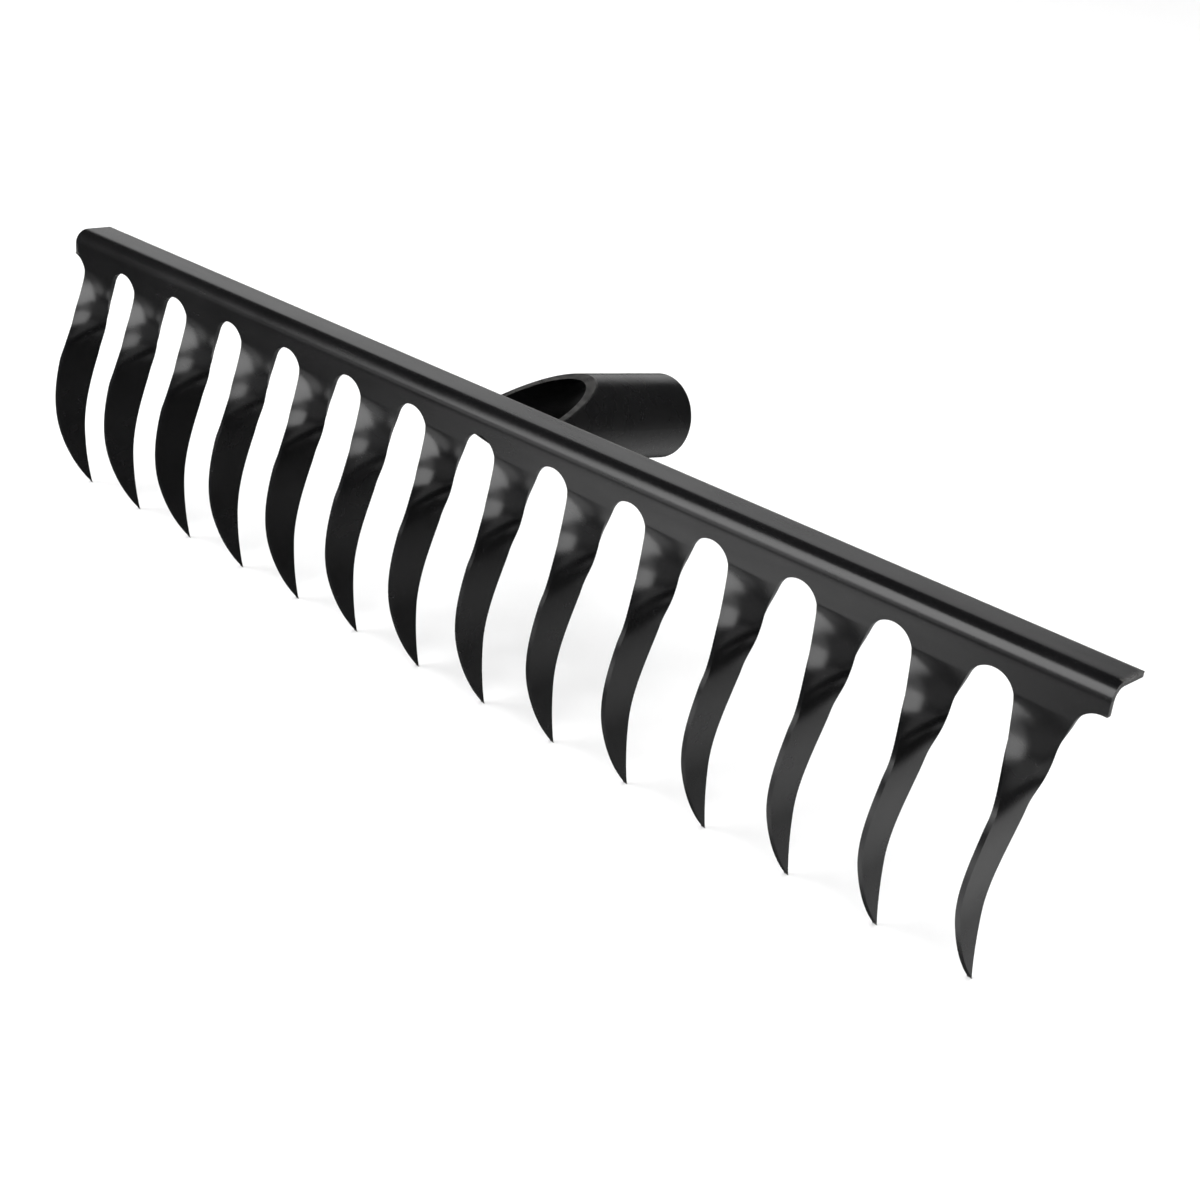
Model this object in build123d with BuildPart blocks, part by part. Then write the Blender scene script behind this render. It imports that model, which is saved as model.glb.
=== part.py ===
from build123d import *
from math import cos, radians, sin, sqrt, tan
import os

# Head of a garden rake, pressed from one sheet of steel, with a welded tube socket for a handle.
# Millimetres. The origin is on the socket's axis, where the bore's straight wall begins at its mouth.
# X runs along the head, +Y towards the user, +Z up along the web, so the tines point down.

# Driving dimensions of the pressing. The tines stand a little off its middle, by tine_shift.
tine_count = 14
pitch = 400 / tine_count
sheet = 1.5
web_front_y = -76.0
datum_z = -1.0
web_height = 17.7
flange_depth = 13.6
flange_droop = 2.5
bend_radius = 4.5
tine_shift = -1.2

# Each gap has a round top, and sides that flare from it down to the tines' necks.
# Heights from here on are measured from datum_z.
arch_top_z = 9.5
arch_radius = 6.6
arch_flare = 17.6
arch_half_width = 8.8

# The tine, with depths measured from the front of the web
root_z = 5.5
neck_z = -7.5
shoulder_z = -22.0
tip_z = -70.6
twist_end_z = -20.0
twist_angle = 87.0
belly_z = -32.0
belly_y = -15.9
belly_radius = 58.0
back_z = -46.5
back_y = -4.5
back_radius = 95.0
root_swing = 1.1
tip_swing = -3.7
swing_z = -14.0
swing_end_z = -50.0
root_slope = 0.20
shoulder_slope = 0.25
section_count = 26
section_crowding = 0.55

# Socket tube, and the cuts that shape its front end
tube_radius = 13.0
tube_wall = 1.5
tube_slope = 10.0
seat_depth = 36.0
bore_taper = 0.4
mouth_chamfer = 0.4
scarf_start = 36.5
scarf_slope = 13.5
notch_gap = 1.0
nose_corner = 3.2
nose_low_z = 10.0
nose_setback = 16.0

# Weld beads
bead_radius = 2.0
bead_offset = 0.9


def ease(share):
    """Smooth step from 0 to 1 with no slope at either end."""
    share = min(max(share, 0.0), 1.0)
    return share * share * (3 - 2 * share)


def front_edge(z):
    """Y of the blade's front edge, an arc that curves back to the tip."""
    return belly_y + belly_radius - sqrt(belly_radius**2 - (z - belly_z) ** 2)


def back_edge(z):
    """Y of the blade's rear edge, a flatter arc."""
    return back_y + back_radius - sqrt(back_radius**2 - (z - back_z) ** 2)


def gap_half_width(z):
    """Half width of the gap between two tines: the round top, its flared sides, then the necks."""
    flare = radians(arch_flare)
    above_centre = z - (arch_top_z - arch_radius)
    if above_centre >= arch_radius * sin(flare):
        return sqrt(arch_radius**2 - above_centre**2)
    return min((arch_radius - above_centre * sin(flare)) / cos(flare), arch_half_width)


def tine_width(z):
    """Width of the flat strip at height z: what two gaps leave, down to the neck, and then the blade."""
    if z >= neck_z:
        return pitch - 2 * gap_half_width(z)
    if z <= shoulder_z:
        return back_edge(z) - front_edge(z)
    neck = pitch - 2 * arch_half_width
    blade = back_edge(shoulder_z) - front_edge(shoulder_z)
    return neck + (blade - neck) * ease((neck_z - z) / (neck_z - shoulder_z))


def tine_y(z):
    """Y of the strip's middle: a cubic from the web to the shoulder, then midway between the arcs."""
    if z <= shoulder_z:
        return (front_edge(z) + back_edge(z)) / 2
    start = sheet / 2
    end = (front_edge(shoulder_z) + back_edge(shoulder_z)) / 2
    span = shoulder_z - root_z
    share = (z - root_z) / span
    rise = (end - start) * ease(share)
    bow_in = share * (1 - share) ** 2 * root_slope * span
    bow_out = share**2 * (share - 1) * shoulder_slope * span
    return start + rise + bow_in + bow_out


def tine_x(z):
    """Sideways swing of the strip's middle: a little one way at the root, then back to the tip."""
    outward = root_swing * ease(z / swing_z)
    return outward + tip_swing * ease((swing_z - z) / (swing_z - swing_end_z))


def tine_section(z):
    """Plane of the strip's section at height z, turned by the twist at that height."""
    turn = radians(twist_angle * ease((root_z - z) / (root_z - twist_end_z)))
    middle = (tine_x(z), web_front_y + tine_y(z), datum_z + z)
    return Plane(origin=middle, x_dir=(cos(turn), sin(turn), 0), z_dir=(0, 0, 1))


# One tine: a strip lofted through level sections, which twist and curve on the way down.
# Sections are closest together at the root, where the strip twists fastest.
with BuildPart() as tine:
    for step in range(section_count):
        share = step / (section_count - 1)
        z = root_z + (tip_z - root_z) * share * (1 - section_crowding * (1 - share))
        with BuildSketch(tine_section(z)):
            Rectangle(tine_width(z), sheet)
    loft()

# The pressing: a web with a flange bent back along its top, and the arches cut up into the web
flange_back_y = web_front_y + flange_depth
web_root_z = datum_z + root_z
web_top_z = datum_z + web_height
flange_back_z = web_top_z - flange_depth * tan(radians(flange_droop))
head_width = tine_count * pitch

with BuildPart() as rake_head:
    with BuildSketch(Plane.YZ):
        with BuildLine():
            FilletPolyline(
                (web_front_y, web_root_z),
                (web_front_y, web_top_z),
                (flange_back_y, flange_back_z),
                radius=bend_radius,
            )
            offset(amount=sheet, side=Side.RIGHT)
        make_face()
    extrude(amount=head_width / 2, both=True)
    with BuildSketch(Plane.XZ.offset(-web_front_y)):
        with Locations((tine_shift, datum_z + arch_top_z - arch_radius)):
            with GridLocations(pitch, 0, tine_count + 1, 1):
                Circle(arch_radius)
    extrude(amount=-sheet, mode=Mode.SUBTRACT)
    with Locations((tine_shift, 0)):
        with GridLocations(pitch, 0, tine_count, 1):
            add(tine.part)

rake_head.part.label = "rake_head"

# The socket: a straight tube with a slanted opening cut in its top, notched to fit under the flange.
# Its bore has a chamfered mouth, is straight as far as the handle's seat, and then narrows a little,
# so that the handle wedges.
# Its nose tapers up to the web above the middle gap, so that the gap stays clear.
droop = tan(radians(flange_droop))
web_back_y = web_front_y + sheet
tube_fall = tan(radians(tube_slope))
tube_axis = Vector(0, -cos(radians(tube_slope)), sin(radians(tube_slope)))
tube_up = Vector(0, sin(radians(tube_slope)), cos(radians(tube_slope)))
tube_plane = Plane(origin=(0, 0, 0), x_dir=(1, 0, 0), z_dir=tube_axis)
tube_length = flange_depth - web_front_y
bore_radius = tube_radius - tube_wall
clear_of_tube = 2 * tube_radius


def flange_under(y):
    """Height of the flange's underside at depth y."""
    return web_top_z - (y - web_front_y) * droop - sheet / cos(radians(flange_droop))


def tube_bottom(y):
    """Height of the tube's underside at depth y."""
    return -y * tube_fall - tube_radius / cos(radians(tube_slope))


def tube_side(y, z):
    """Half width of the tube at depth y and height z."""
    above_axis = (z + y * tube_fall) * cos(radians(tube_slope))
    return sqrt(tube_radius**2 - above_axis**2)


scarf_top = tube_axis * scarf_start + tube_up * tube_radius
notch_y = flange_back_y + notch_gap
notch_z = scarf_top.Z - (scarf_top.Y - notch_y) * tan(radians(scarf_slope))
corner_y = web_back_y + nose_corner
corner_z = flange_under(web_back_y) - nose_corner
nose_z = datum_z + nose_low_z
nose_y = web_front_y + nose_setback

with BuildPart() as handle_socket:
    with BuildSketch(tube_plane.offset(-mouth_chamfer)):
        Circle(tube_radius)
    extrude(amount=mouth_chamfer + tube_length)
    with BuildSketch(tube_plane.offset(-mouth_chamfer)):
        Circle(bore_radius + mouth_chamfer)
    extrude(amount=mouth_chamfer, taper=45, mode=Mode.SUBTRACT)
    with BuildSketch(tube_plane):
        Circle(bore_radius)
    extrude(amount=seat_depth, mode=Mode.SUBTRACT)
    with BuildSketch(tube_plane.offset(seat_depth)):
        Circle(bore_radius)
    extrude(amount=tube_length - seat_depth, taper=bore_taper, mode=Mode.SUBTRACT)
    with BuildSketch(Plane.YZ):
        with BuildLine():
            Polyline(
                (clear_of_tube, clear_of_tube),
                (scarf_top.Y, clear_of_tube),
                (scarf_top.Y, scarf_top.Z),
                (notch_y, notch_z),
                (notch_y, flange_under(notch_y)),
                (corner_y, flange_under(corner_y)),
                (web_back_y, corner_z),
                (web_back_y, nose_z),
                (nose_y, tube_bottom(nose_y)),
                (nose_y, -clear_of_tube),
                (clear_of_tube, -clear_of_tube),
                close=True,
            )
        make_face()
    extrude(amount=clear_of_tube, both=True, mode=Mode.INTERSECT)

handle_socket.part.label = "handle_socket"

# Weld beads in the corners between the tube's sides and the head: under the flange and on the web.
# A bead's centre line stands off both walls by bead_offset.
bead_back_y = flange_back_y - bead_radius
bead_web_y = web_back_y + bead_offset
bead_front_z = flange_under(corner_y) - bead_offset
bead_back_z = flange_under(bead_back_y) - bead_offset
seams = [
    [(corner_y, bead_front_z), (bead_back_y, bead_back_z)],
    [(bead_web_y, nose_z + bead_radius), (bead_web_y, corner_z)],
]

with BuildPart() as tube_outside:
    with BuildSketch(tube_plane):
        Circle(tube_radius)
    extrude(amount=tube_length)

with BuildPart() as socket_welds:
    for side in (-1, 1):
        for seam in seams:
            first, last = [Vector(side * (tube_side(y, z) + bead_offset), y, z) for y, z in seam]
            with BuildSketch(Plane(origin=first, z_dir=last - first)):
                Circle(bead_radius)
            extrude(amount=(last - first).length)
            with Locations(first, last):
                Sphere(bead_radius)
    add(tube_outside.part, mode=Mode.SUBTRACT)
    add(rake_head.part, mode=Mode.SUBTRACT)

socket_welds.part.label = "socket_welds"

os.makedirs("parts", exist_ok=True)
for piece in (rake_head.part, handle_socket.part, socket_welds.part):
    export_step(piece, f"parts/{piece.label}.step")
    print(piece.label, "solids", len(piece.solids()), "volume mm3", round(piece.volume))
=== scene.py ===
import bpy
import bmesh
from math import cos, exp, log, pi, radians, sin, sqrt, tan
from mathutils import Matrix, Vector


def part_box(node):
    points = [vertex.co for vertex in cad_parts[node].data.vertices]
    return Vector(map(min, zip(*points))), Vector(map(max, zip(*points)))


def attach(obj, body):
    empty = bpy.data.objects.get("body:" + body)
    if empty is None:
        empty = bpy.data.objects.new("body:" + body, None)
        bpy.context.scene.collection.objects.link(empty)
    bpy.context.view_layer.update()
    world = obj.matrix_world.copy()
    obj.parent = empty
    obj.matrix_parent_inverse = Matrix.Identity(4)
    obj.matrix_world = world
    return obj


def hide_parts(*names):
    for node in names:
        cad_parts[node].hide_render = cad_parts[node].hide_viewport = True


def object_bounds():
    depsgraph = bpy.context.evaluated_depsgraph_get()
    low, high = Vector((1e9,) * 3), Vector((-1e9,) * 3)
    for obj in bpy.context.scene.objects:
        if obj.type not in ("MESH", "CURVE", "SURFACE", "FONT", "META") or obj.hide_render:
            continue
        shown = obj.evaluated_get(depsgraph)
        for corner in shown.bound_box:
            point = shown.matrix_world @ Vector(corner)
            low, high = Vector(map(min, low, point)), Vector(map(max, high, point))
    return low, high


# Head of a garden rake: a pressed sheet-steel head with twisted tines and a welded tube socket.
# Metres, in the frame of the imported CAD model: X along the head, +Y to the handle, +Z up.

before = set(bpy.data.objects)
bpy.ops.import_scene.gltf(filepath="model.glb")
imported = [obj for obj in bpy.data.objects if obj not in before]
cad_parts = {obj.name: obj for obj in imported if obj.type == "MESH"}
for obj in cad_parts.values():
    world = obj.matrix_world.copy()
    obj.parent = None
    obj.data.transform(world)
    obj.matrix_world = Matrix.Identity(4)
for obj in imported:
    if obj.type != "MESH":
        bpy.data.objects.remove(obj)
cad_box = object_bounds()
MM = 0.001

# Sizes of the pressing, the same as the CAD model's. Heights from ARCH_TOP_Z on are measured from DATUM_Z.
TINES = 14
HEAD_LOW, HEAD_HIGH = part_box("rake_head")
HEAD_WIDTH = HEAD_HIGH[0] - HEAD_LOW[0]
PITCH = HEAD_WIDTH / TINES
SHEET = 1.5 * MM
WEB_FRONT_Y = -76.0 * MM
DATUM_Z = -1.0 * MM
WEB_HEIGHT = 17.7 * MM
FLANGE_DEPTH = 13.6 * MM
FLANGE_DROOP = radians(2.5)
BEND_RADIUS = 4.5 * MM
TINE_SHIFT = -1.2 * MM
ARCH_TOP_Z = 9.5 * MM
ARCH_RADIUS = 6.6 * MM
ARCH_FLARE = radians(17.6)
ARCH_HALF_WIDTH = 8.8 * MM
ROOT_Z = 5.5 * MM
NECK_Z = -7.5 * MM
SHOULDER_Z = -22.0 * MM
TIP_Z = -70.6 * MM
TWIST_END_Z = -20.0 * MM
TWIST = radians(87.0)
BELLY_Z, BELLY_Y, BELLY_RADIUS = -32.0 * MM, -15.9 * MM, 58.0 * MM
BACK_Z, BACK_Y, BACK_RADIUS = -46.5 * MM, -4.5 * MM, 95.0 * MM
ROOT_SWING, TIP_SWING = 1.1 * MM, -3.7 * MM
SWING_Z, SWING_END_Z = -14.0 * MM, -50.0 * MM
ROOT_SLOPE, SHOULDER_SLOPE = 0.20, 0.25

# Two corners of the CAD model are eased here: where a gap's side meets the neck, as a distance, and
# where a tine leaves the web, as a share of the stretch down to its shoulder.
ARCH_BLEND = 0.35 * MM
ROOT_SOFTNESS = 0.10

# Sizes of the socket tube
TUBE_RADIUS, TUBE_SLOPE, MOUTH_CHAMFER = 13.0 * MM, radians(10), 0.4 * MM
SCARF_START, SCARF_SLOPE = 36.5 * MM, radians(13.5)


def ease(share):
    share = min(max(share, 0.0), 1.0)
    return share * share * (3 - 2 * share)


def arc_y(z, apex_z, apex_y, radius):
    return apex_y + radius - sqrt(radius**2 - (z - apex_z) ** 2)


def front_edge(z):
    return arc_y(z, BELLY_Z, BELLY_Y, BELLY_RADIUS)


def back_edge(z):
    return arc_y(z, BACK_Z, BACK_Y, BACK_RADIUS)


def gap_half_width(z):
    """Half width of the gap between two tines: the round top, its flared sides, then the necks."""
    above_centre = z - (ARCH_TOP_Z - ARCH_RADIUS)
    if above_centre >= ARCH_RADIUS * sin(ARCH_FLARE):
        return sqrt(max(ARCH_RADIUS**2 - above_centre**2, 0.0))
    room = ARCH_HALF_WIDTH - (ARCH_RADIUS - above_centre * sin(ARCH_FLARE)) / cos(ARCH_FLARE)
    return ARCH_HALF_WIDTH - ARCH_BLEND * log(1 + exp(room / ARCH_BLEND))


def strip_width(z):
    """Width of the strip of sheet at height z: what two gaps leave, down to the neck, then the blade."""
    if z >= NECK_Z:
        return PITCH - 2 * gap_half_width(z)
    if z <= SHOULDER_Z:
        return back_edge(z) - front_edge(z)
    neck = PITCH - 2 * ARCH_HALF_WIDTH
    blade = back_edge(SHOULDER_Z) - front_edge(SHOULDER_Z)
    return neck + (blade - neck) * ease((NECK_Z - z) / (NECK_Z - SHOULDER_Z))


def strip_middle(z):
    """Middle of the strip at height z, as x from the tine's centre and y from the web's front."""
    x = ROOT_SWING * ease(z / SWING_Z) + TIP_SWING * ease((SWING_Z - z) / (SWING_Z - SWING_END_Z))
    if z >= ROOT_Z:
        return x, SHEET / 2
    if z <= SHOULDER_Z:
        return x, (front_edge(z) + back_edge(z)) / 2
    end = (front_edge(SHOULDER_Z) + back_edge(SHOULDER_Z)) / 2
    span = SHOULDER_Z - ROOT_Z
    share = (z - ROOT_Z) / span
    y = SHEET / 2 + (end - SHEET / 2) * ease(share)
    y += share**2 / (share + ROOT_SOFTNESS) * (1 - share) ** 2 * ROOT_SLOPE * span
    y += share**2 * (share - 1) * SHOULDER_SLOPE * span
    return x, y


def strip_point(tine, z, across):
    """A point of the sheet's middle surface: across runs from -1 to 1 over the strip's width."""
    x, y = strip_middle(z)
    turn = TWIST * ease((ROOT_Z - z) / (ROOT_Z - TWIST_END_Z))
    half = across * strip_width(z) / 2
    centre = (tine - (TINES - 1) / 2) * PITCH + TINE_SHIFT
    return Vector((centre + x + half * cos(turn), WEB_FRONT_Y + y + half * sin(turn), DATUM_Z + z))


def bar_profile():
    """Points down the middle of the sheet in the bar: flange from its back, bend, web to the arches."""
    radius = BEND_RADIUS - SHEET / 2
    turn_angle = radians(90) + FLANGE_DROOP
    web_y = WEB_FRONT_Y + SHEET / 2
    top_z = DATUM_Z + WEB_HEIGHT
    # centre of the bend: a bend radius behind the web's front, and as far under the flange's top
    bend_y = WEB_FRONT_Y + BEND_RADIUS
    bend_z = top_z - BEND_RADIUS * tan(FLANGE_DROOP) - BEND_RADIUS / cos(FLANGE_DROOP)
    flange_dir = Vector((cos(FLANGE_DROOP), -sin(FLANGE_DROOP)))
    start = Vector((bend_y + radius * sin(FLANGE_DROOP), bend_z + radius * cos(FLANGE_DROOP)))
    length = (WEB_FRONT_Y + FLANGE_DEPTH - start.x) / cos(FLANGE_DROOP)
    flange_steps = 6
    flange = [start + flange_dir * length * (1 - k / flange_steps) for k in range(flange_steps)]
    bend_steps = 12
    bend = []
    for k in range(bend_steps + 1):
        angle = turn_angle * k / bend_steps - FLANGE_DROOP
        bend.append(Vector((bend_y - radius * sin(angle), bend_z + radius * cos(angle))))
    web_steps = 4
    web_end = DATUM_Z + ARCH_TOP_Z
    web = [Vector((web_y, bend_z + (web_end - bend_z) * k / web_steps)) for k in range(1, web_steps + 1)]
    return flange + bend + web


def strip_heights():
    """Heights of a tine's rows of points: down the arch's round top, its flared sides, then the blade."""
    arch_steps, side_steps, blade_steps = 14, 5, 50
    angles = [(radians(90) - ARCH_FLARE) * k / arch_steps for k in range(1, arch_steps + 1)]
    heights = [ARCH_TOP_Z - ARCH_RADIUS * (1 - cos(angle)) for angle in angles]
    round_end = heights[-1]
    flare_end = ARCH_TOP_Z - ARCH_RADIUS
    flare_end += (ARCH_RADIUS - ARCH_HALF_WIDTH * cos(ARCH_FLARE)) / sin(ARCH_FLARE)
    heights += [round_end + (flare_end - round_end) * k / side_steps for k in range(1, side_steps + 1)]
    heights += [flare_end + (TIP_Z - flare_end) * k / blade_steps for k in range(1, blade_steps + 1)]
    return heights


def build_head(name):
    """The pressing as one sheet of quads, thickened and with its cut edges eased."""
    across_steps = 16
    shares = [2 * k / across_steps - 1 for k in range(across_steps + 1)]
    heights = strip_heights()
    mesh = bmesh.new()
    for tine in range(TINES):
        centre = (tine - (TINES - 1) / 2) * PITCH
        rows = []
        for y, z in bar_profile():
            rows.append([mesh.verts.new((centre + s * PITCH / 2, y, z)) for s in shares])
        for z in heights:
            rows.append([mesh.verts.new(strip_point(tine, z, s)) for s in shares])
        for upper, lower in zip(rows, rows[1:]):
            for k in range(across_steps):
                mesh.faces.new((upper[k], upper[k + 1], lower[k + 1], lower[k]))
    bmesh.ops.remove_doubles(mesh, verts=mesh.verts, dist=0.01 * MM)
    bmesh.ops.recalc_face_normals(mesh, faces=mesh.faces)
    data = bpy.data.meshes.new(name)
    mesh.to_mesh(data)
    mesh.free()
    data.shade_smooth()
    head = bpy.data.objects.new(name, data)
    bpy.context.scene.collection.objects.link(head)
    sheet = head.modifiers.new("sheet", "SOLIDIFY")
    sheet.thickness = SHEET
    sheet.offset = 0
    sheet.use_even_offset = True
    edge = head.modifiers.new("cut_edge", "BEVEL")
    edge.width = 0.42 * MM
    edge.segments = 3
    edge.limit_method = "ANGLE"
    edge.angle_limit = radians(50)
    edge.harden_normals = True
    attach(head, "root")
    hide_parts("rake_head")
    return head


class PaintNodes:
    """The shader nodes of one new material. Noise scales are in cells to the metre."""

    def __init__(self, name):
        self.material = bpy.data.materials.new(name)
        self.material.use_nodes = True
        self.nodes = self.material.node_tree.nodes
        self.links = self.material.node_tree.links
        self.shader = self.nodes["Principled BSDF"]
        self.place = self.nodes.new("ShaderNodeTexCoord").outputs["Object"]

    def noise(self, scale, detail, stretch=(1, 1, 1)):
        mapping = self.nodes.new("ShaderNodeMapping")
        mapping.inputs["Scale"].default_value = stretch
        self.links.new(self.place, mapping.inputs["Vector"])
        texture = self.nodes.new("ShaderNodeTexNoise")
        texture.inputs["Scale"].default_value = scale
        texture.inputs["Detail"].default_value = detail
        self.links.new(mapping.outputs["Vector"], texture.inputs["Vector"])
        return texture.outputs["Fac"]

    def mapped(self, value, low, high, to_low, to_high):
        """The value, with the range from low to high stretched to the one from to_low to to_high."""
        node = self.nodes.new("ShaderNodeMapRange")
        node.inputs["From Min"].default_value = low
        node.inputs["From Max"].default_value = high
        node.inputs["To Min"].default_value = to_low
        node.inputs["To Max"].default_value = to_high
        self.links.new(value, node.inputs["Value"])
        return node.outputs["Result"]

    def math(self, operation, *values):
        """One math node, whose inputs are links or plain numbers."""
        node = self.nodes.new("ShaderNodeMath")
        node.operation = operation
        for value, target in zip(values, node.inputs):
            if isinstance(value, float):
                target.default_value = value
            else:
                self.links.new(value, target)
        return node.outputs["Value"]

    def blend(self, share, first, second):
        """A mix of two colours, each a link or a plain colour."""
        node = self.nodes.new("ShaderNodeMix")
        node.data_type = "RGBA"
        self.links.new(share, node.inputs["Factor"])
        targets = [i for i in node.inputs if i.type == "RGBA"]
        for value, target in zip((first, second), targets):
            if isinstance(value, tuple):
                target.default_value = (*value, 1)
            else:
                self.links.new(value, target)
        return [o for o in node.outputs if o.type == "RGBA"][0]

    def near_plane(self, axis, distance, reach, strength):
        """Strength on the plane that lies the given distance along the axis, fading to 0 at the reach."""
        along = self.nodes.new("ShaderNodeVectorMath")
        along.operation = "DOT_PRODUCT"
        along.inputs[1].default_value = axis
        self.links.new(self.place, along.inputs[0])
        gap = self.math("ABSOLUTE", self.math("SUBTRACT", along.outputs["Value"], distance))
        return self.mapped(gap, 0.0, reach, strength, 0.0)


def paint(name, colour, roughness, gloss, grain, rims=()):
    """Sprayed paint: a fine orange peel, duller patches, faint streaks, specks of dust, and a painted
    highlight along the edges.

    The edges are those that stand out of the mesh or, where rims are given as planes (a direction and
    the distance along it), the cuts made by those planes.
    """
    tree = PaintNodes(name)
    cloud = tree.noise(28, 4)
    peel = tree.noise(grain, 3)
    streaks = tree.noise(190, 3, (0.12, 1, 1))
    dust = tree.mapped(tree.noise(2600, 1), 0.70, 0.76, 0.0, 1.0)
    # noise that breaks the painted edge highlight into patches
    highlight_breakup = tree.mapped(tree.noise(420, 4), 0.35, 0.65, 0.4, 1.0)
    # mask of the edges that get a painted highlight, in place of the glint on their rounded cut faces
    if rims:
        edge = tree.math("MAXIMUM", *[tree.near_plane(*rim, 0.5 * MM, 0.35) for rim in rims])
    else:
        sharpness = tree.nodes.new("ShaderNodeNewGeometry").outputs["Pointiness"]
        edge = tree.mapped(sharpness, 0.53, 0.60, 0.0, 0.5)
    edge_highlight = tree.math("MULTIPLY", edge, highlight_breakup)

    lighter = tuple(1.6 * c for c in colour)
    dust_colour = (0.10, 0.10, 0.09)
    # light grey painted on the edges as their highlight
    edge_highlight_colour = (0.12, 0.117, 0.113)
    base = tree.blend(tree.mapped(cloud, 0.35, 0.70, 0.0, 1.0), colour, lighter)
    base = tree.blend(tree.mapped(dust, 0.0, 1.0, 0.0, 0.12), base, dust_colour)
    # the edges are lightened towards that grey: a painted highlight
    base = tree.blend(edge_highlight, base, edge_highlight_colour)
    tree.links.new(base, tree.shader.inputs["Base Color"])

    clouded = tree.mapped(cloud, 0.3, 0.7, roughness - 0.03, roughness + 0.04)
    rough = tree.math("ADD", clouded, tree.mapped(streaks, 0.3, 0.7, -0.02, 0.03))
    rough = tree.math("ADD", rough, tree.mapped(edge_highlight, 0.0, 1.0, 0.0, 0.15))
    tree.links.new(rough, tree.shader.inputs["Roughness"])
    tree.shader.inputs["Specular IOR Level"].default_value = gloss

    height = tree.math("ADD", peel, tree.mapped(dust, 0.0, 1.0, 0.0, 0.5))
    bump = tree.nodes.new("ShaderNodeBump")
    bump.inputs["Strength"].default_value = 0.2
    bump.inputs["Distance"].default_value = 0.02 * MM
    tree.links.new(height, bump.inputs["Height"])
    tree.links.new(bump.outputs["Normal"], tree.shader.inputs["Normal"])
    return tree.material


def socket_rims():
    """Planes of the socket's mouth and its slanted opening, as a direction and a distance along it."""
    axis = Vector((0, -cos(TUBE_SLOPE), sin(TUBE_SLOPE)))
    top = Vector((0, sin(TUBE_SLOPE), cos(TUBE_SLOPE)))
    scarf = Vector((0, -sin(SCARF_SLOPE), cos(SCARF_SLOPE)))
    scarf_top = SCARF_START * axis + TUBE_RADIUS * top
    return [(axis, -MOUTH_CHAMFER), (scarf, scarf_top.dot(scarf))]


def repaint(node, material):
    """Gives a CAD node that stays visible a better material."""
    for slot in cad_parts[node].material_slots:
        slot.material = material


def direction(azimuth, elevation):
    """Unit vector, from degrees: azimuth to the right from straight in front of the head, elevation up."""
    a, e = radians(azimuth), radians(elevation)
    return Vector((sin(a) * cos(e), -cos(a) * cos(e), sin(e)))


def softbox(name, azimuth, elevation, size, radiance, mirrored=True):
    """A rectangular softbox aimed at the head. Its power follows from its radiance and its size."""
    distance = 3
    data = bpy.data.lights.new(name, "AREA")
    data.shape = "RECTANGLE"
    data.size, data.size_y = size
    data.energy = radiance * pi * size[0] * size[1]
    light = bpy.data.objects.new(name, data)
    light.location = distance * direction(azimuth, elevation)
    light.rotation_euler = direction(azimuth, elevation).to_track_quat("Z", "Y").to_euler()
    light.visible_camera = False
    light.visible_glossy = mirrored
    bpy.context.scene.collection.objects.link(light)


def build_world(glow, patches):
    """A dim studio: an even glow, and soft patches of light round it, below the horizon as well.

    A patch has an azimuth and an elevation, the radii in degrees of its even core and of its faded
    edge, and a radiance.
    """
    world = bpy.data.worlds.new("studio")
    bpy.context.scene.world = world
    world.use_nodes = True
    nodes, links = world.node_tree.nodes, world.node_tree.links
    background = nodes["Background"]
    background.inputs["Color"].default_value = (1, 1, 1, 1)
    ray = nodes.new("ShaderNodeTexCoord").outputs["Generated"]
    total = None
    for azimuth, elevation, core, edge, radiance in patches:
        angle = nodes.new("ShaderNodeVectorMath")
        angle.operation = "DOT_PRODUCT"
        angle.inputs[1].default_value = direction(azimuth, elevation)
        links.new(ray, angle.inputs[0])
        patch = nodes.new("ShaderNodeMapRange")
        patch.interpolation_type = "SMOOTHSTEP"
        patch.inputs["From Min"].default_value = cos(radians(edge))
        patch.inputs["From Max"].default_value = cos(radians(core))
        patch.inputs["To Max"].default_value = radiance
        links.new(angle.outputs["Value"], patch.inputs["Value"])
        adder = nodes.new("ShaderNodeMath")
        adder.operation = "ADD"
        adder.inputs[1].default_value = glow
        if total:
            links.new(total, adder.inputs[1])
        links.new(patch.outputs["Result"], adder.inputs[0])
        total = adder.outputs["Value"]
    links.new(total, background.inputs["Strength"])


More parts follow.
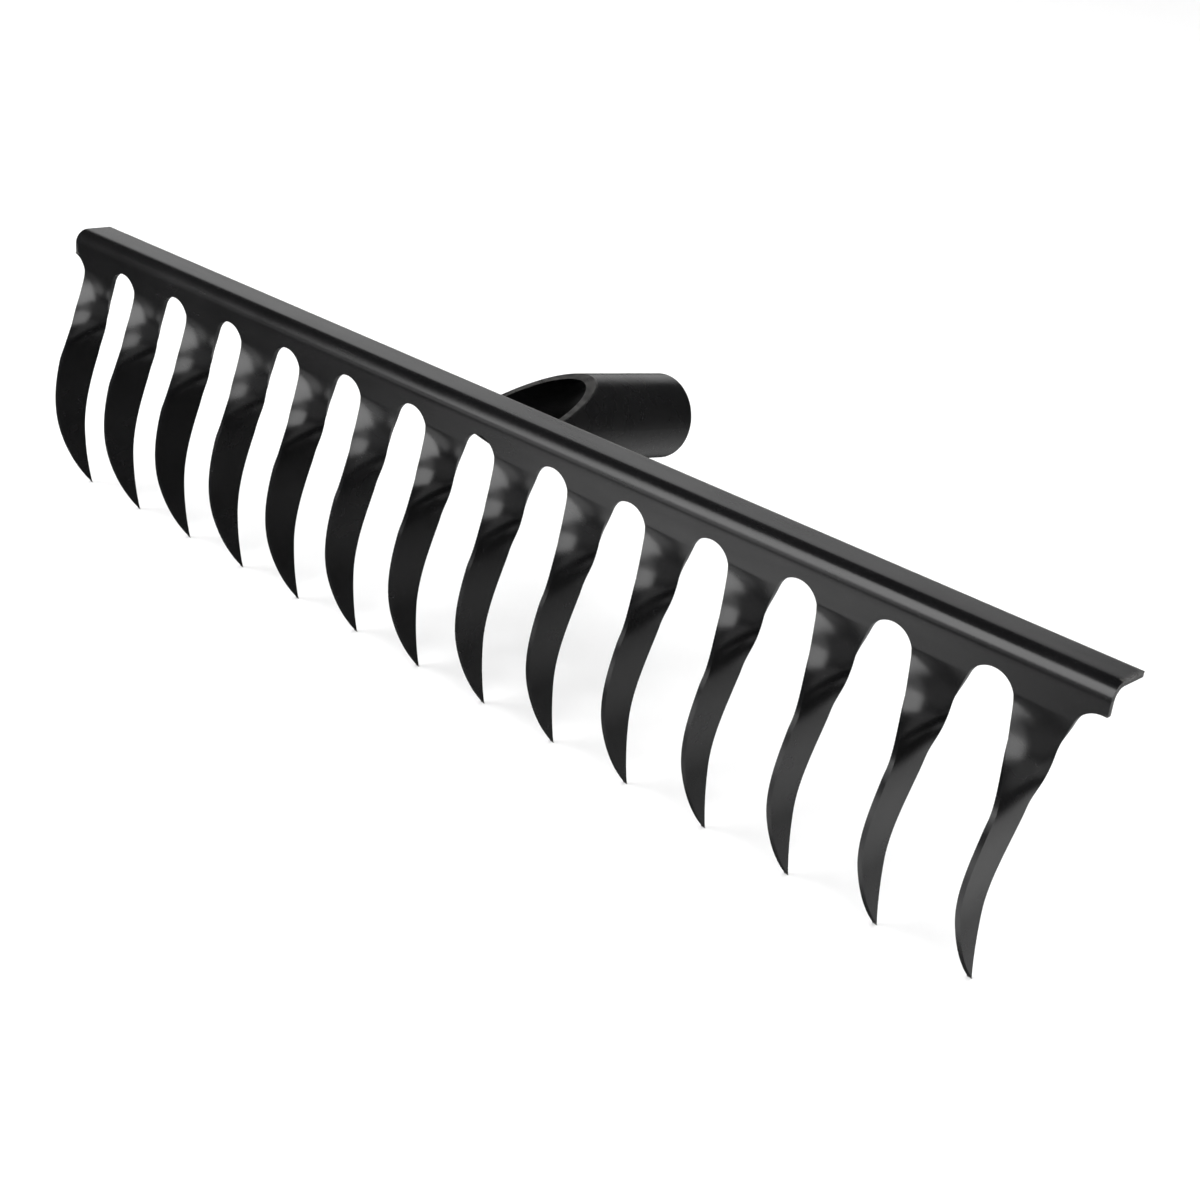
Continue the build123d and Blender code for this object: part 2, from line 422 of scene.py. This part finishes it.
def build_stage():
    """A white floor that curves up to a wall all round. The head doesn't mirror it."""
    floor_z = cad_box[0][2]
    flat, bend, wall = 3.0, 1.5, 2.5
    profile = [(flat, 0.0)]
    profile += [(flat + bend * sin(radians(a)), bend * (1 - cos(radians(a)))) for a in range(10, 91, 10)]
    profile.append((flat + bend, bend + wall))
    around = 72
    angles = [radians(360 * k / around) for k in range(around)]
    mesh = bmesh.new()
    rings = []
    for radius, height in profile:
        rings.append([mesh.verts.new((radius * cos(a), radius * sin(a), floor_z + height)) for a in angles])
    mesh.faces.new(rings[0])
    for lower, upper in zip(rings, rings[1:]):
        for k in range(around):
            after = (k + 1) % around
            mesh.faces.new((lower[k], upper[k], upper[after], lower[after]))
    data = bpy.data.meshes.new("floor")
    mesh.to_mesh(data)
    mesh.free()
    data.shade_smooth()
    floor = bpy.data.objects.new("floor", data)
    bpy.context.scene.collection.objects.link(floor)
    floor.visible_glossy = False
    floor.visible_shadow = False
    material = bpy.data.materials.new("floor_paper")
    material.use_nodes = True
    shader = material.node_tree.nodes["Principled BSDF"]
    shader.inputs["Base Color"].default_value = (0.9, 0.9, 0.9, 1)
    shader.inputs["Roughness"].default_value = 0.9
    shader.inputs["Specular IOR Level"].default_value = 0.0
    data.materials.append(material)


def build_light():
    softbox("front_left", -28, 34, (1.8, 2.5), 4.5)
    softbox("front_right", 43, 42, (1.8, 2.0), 3.8)
    softbox("overhead", 0, 90, (3.0, 3.0), 2.4, mirrored=False)
    softbox("back_wall", -137, 13, (2.6, 1.3), 0.75)
    build_world(0.05, [
        (10, 38, 8, 18, 1.0),
        (-35, 0, 5, 13, 1.5),
        (-37, -26, 3, 12, 2.0),
        (18, -8, 15, 38, 0.35),
        (82, 2, 18, 34, 0.55),
        (75, -40, 14, 28, 0.6),
        (-20, -60, 15, 32, 1.3),
        (170, -33, 8, 36, 0.56),
    ])
    bpy.context.scene.view_settings.view_transform = "Standard"


def build_camera():
    """A camera in front of the head's right end, a little above it and rolled a few degrees."""
    place = Vector((0.36424, -0.44804, 0.20617))
    look = Vector((-0.58435, 0.69126, -0.42509))
    up = Vector((-0.36061, 0.24807, 0.89912))
    right = look.cross(up).normalized()
    up = right.cross(look)
    data = bpy.data.cameras.new("camera")
    data.sensor_width = 36
    data.lens = 59.15
    camera = bpy.data.objects.new("camera", data)
    turn = Matrix((right, up, -look)).transposed()
    camera.matrix_world = Matrix.Translation(place) @ turn.to_4x4()
    bpy.context.scene.collection.objects.link(camera)
    bpy.context.scene.camera = camera


build_head("pressed_head").data.materials.append(
    paint("head_paint", (0.0025, 0.0025, 0.0027), roughness=0.24, gloss=0.5, grain=900)
)
# the rims of the socket's mouth and slanted opening get a painted highlight from the paint below
rims = socket_rims()
repaint("handle_socket", paint("socket_paint", (0.004, 0.004, 0.0042), 0.25, 0.45, 700, rims))
repaint("socket_welds", paint("weld_paint", (0.003, 0.003, 0.003), 0.34, 0.4, 500, rims))
build_stage()
build_light()
build_camera()
